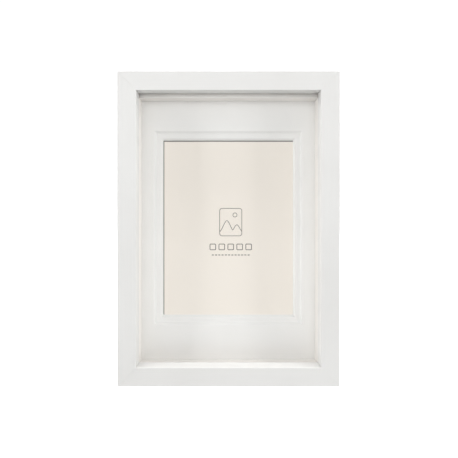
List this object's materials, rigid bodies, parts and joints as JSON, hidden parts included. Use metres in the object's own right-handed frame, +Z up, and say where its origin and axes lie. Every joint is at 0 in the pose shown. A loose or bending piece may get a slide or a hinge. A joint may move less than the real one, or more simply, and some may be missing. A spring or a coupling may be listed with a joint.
{
  "type": "shadow box",
  "caption": "Deep white shadow box with mitred rails, glass behind a lip, spacer, double mat and picture card, closed by a board under turn buttons.",
  "frame": {"origin": "middle of the flat bottom face that the frame stands on", "axes": "+Z up along the height, -Y out of the glass towards the viewer, +X to the viewer's right"},
  "size_m": [0.23, 0.0447, 0.326],
  "materials": {
    "white_paint": "satin white paint over wood fibre moulding",
    "steel": "plain steel",
    "zinc_plate": "bright zinc plate",
    "glass": "clear float glass",
    "white_board": "matt white paint over wood fibre strip",
    "mat_board": "matt white textured mat board",
    "print_card": "matt cream card",
    "fibreboard": "smooth brown hardboard"
  },
  "bodies": {
    "frame": {"rail_top": "white_paint", "rail_bottom": "white_paint", "rail_left": "white_paint", "rail_right": "white_paint", "corner_v_nails": "steel", "turn_button_screws": "zinc_plate", "hanger_top": "zinc_plate", "hanger_side": "zinc_plate", "hanger_nails": "steel"},
    "glass": {"glass_pane": "glass"},
    "spacer": {"spacer_top": "white_board", "spacer_bottom": "white_board", "spacer_left": "white_board", "spacer_right": "white_board"},
    "picture_pack": {"upper_mat": "mat_board", "lower_mat": "mat_board", "insert_print": "print_card"},
    "backing": {"backing_board": "fibreboard"},
    "button_top_left": {"turn_button_top_left": "zinc_plate"},
    "button_top_right": {"turn_button_top_right": "zinc_plate"},
    "button_right_upper": {"turn_button_right_upper": "zinc_plate"},
    "button_right_lower": {"turn_button_right_lower": "zinc_plate"},
    "button_bottom_right": {"turn_button_bottom_right": "zinc_plate"},
    "button_bottom_left": {"turn_button_bottom_left": "zinc_plate"},
    "button_left_lower": {"turn_button_left_lower": "zinc_plate"},
    "button_left_upper": {"turn_button_left_upper": "zinc_plate"}
  },
  "joints": [
    {"name": "glass_slide", "type": "slide", "parent": "frame", "child": "glass", "axis": [0, 1, 0], "range_m": [0, 0.05]},
    {"name": "spacer_slide", "type": "slide", "parent": "glass", "child": "spacer", "axis": [0, 1, 0], "range_m": [0, 0.05]},
    {"name": "picture_slide", "type": "slide", "parent": "spacer", "child": "picture_pack", "axis": [0, 1, 0], "range_m": [0, 0.05]},
    {"name": "backing_slide", "type": "slide", "parent": "picture_pack", "child": "backing", "axis": [0, 1, 0], "range_m": [0, 0.05]},
    {"name": "turn_top_left", "type": "hinge", "parent": "frame", "child": "button_top_left", "pos_m": [-0.062, 0.0216, 0.32115], "axis": [0, -1, 0], "continuous": true},
    {"name": "turn_top_right", "type": "hinge", "parent": "frame", "child": "button_top_right", "pos_m": [0.062, 0.0216, 0.32115], "axis": [0, 1, 0], "continuous": true},
    {"name": "turn_right_upper", "type": "hinge", "parent": "frame", "child": "button_right_upper", "pos_m": [0.11015, 0.0216, 0.248], "axis": [0, -1, 0], "continuous": true},
    {"name": "turn_right_lower", "type": "hinge", "parent": "frame", "child": "button_right_lower", "pos_m": [0.11015, 0.0216, 0.078], "axis": [0, 1, 0], "continuous": true},
    {"name": "turn_bottom_right", "type": "hinge", "parent": "frame", "child": "button_bottom_right", "pos_m": [0.062, 0.0216, 0.00485], "axis": [0, -1, 0], "continuous": true},
    {"name": "turn_bottom_left", "type": "hinge", "parent": "frame", "child": "button_bottom_left", "pos_m": [-0.062, 0.0216, 0.00485], "axis": [0, 1, 0], "continuous": true},
    {"name": "turn_left_lower", "type": "hinge", "parent": "frame", "child": "button_left_lower", "pos_m": [-0.11015, 0.0216, 0.078], "axis": [0, -1, 0], "continuous": true},
    {"name": "turn_left_upper", "type": "hinge", "parent": "frame", "child": "button_left_upper", "pos_m": [-0.11015, 0.0216, 0.248], "axis": [0, 1, 0], "continuous": true}
  ]
}
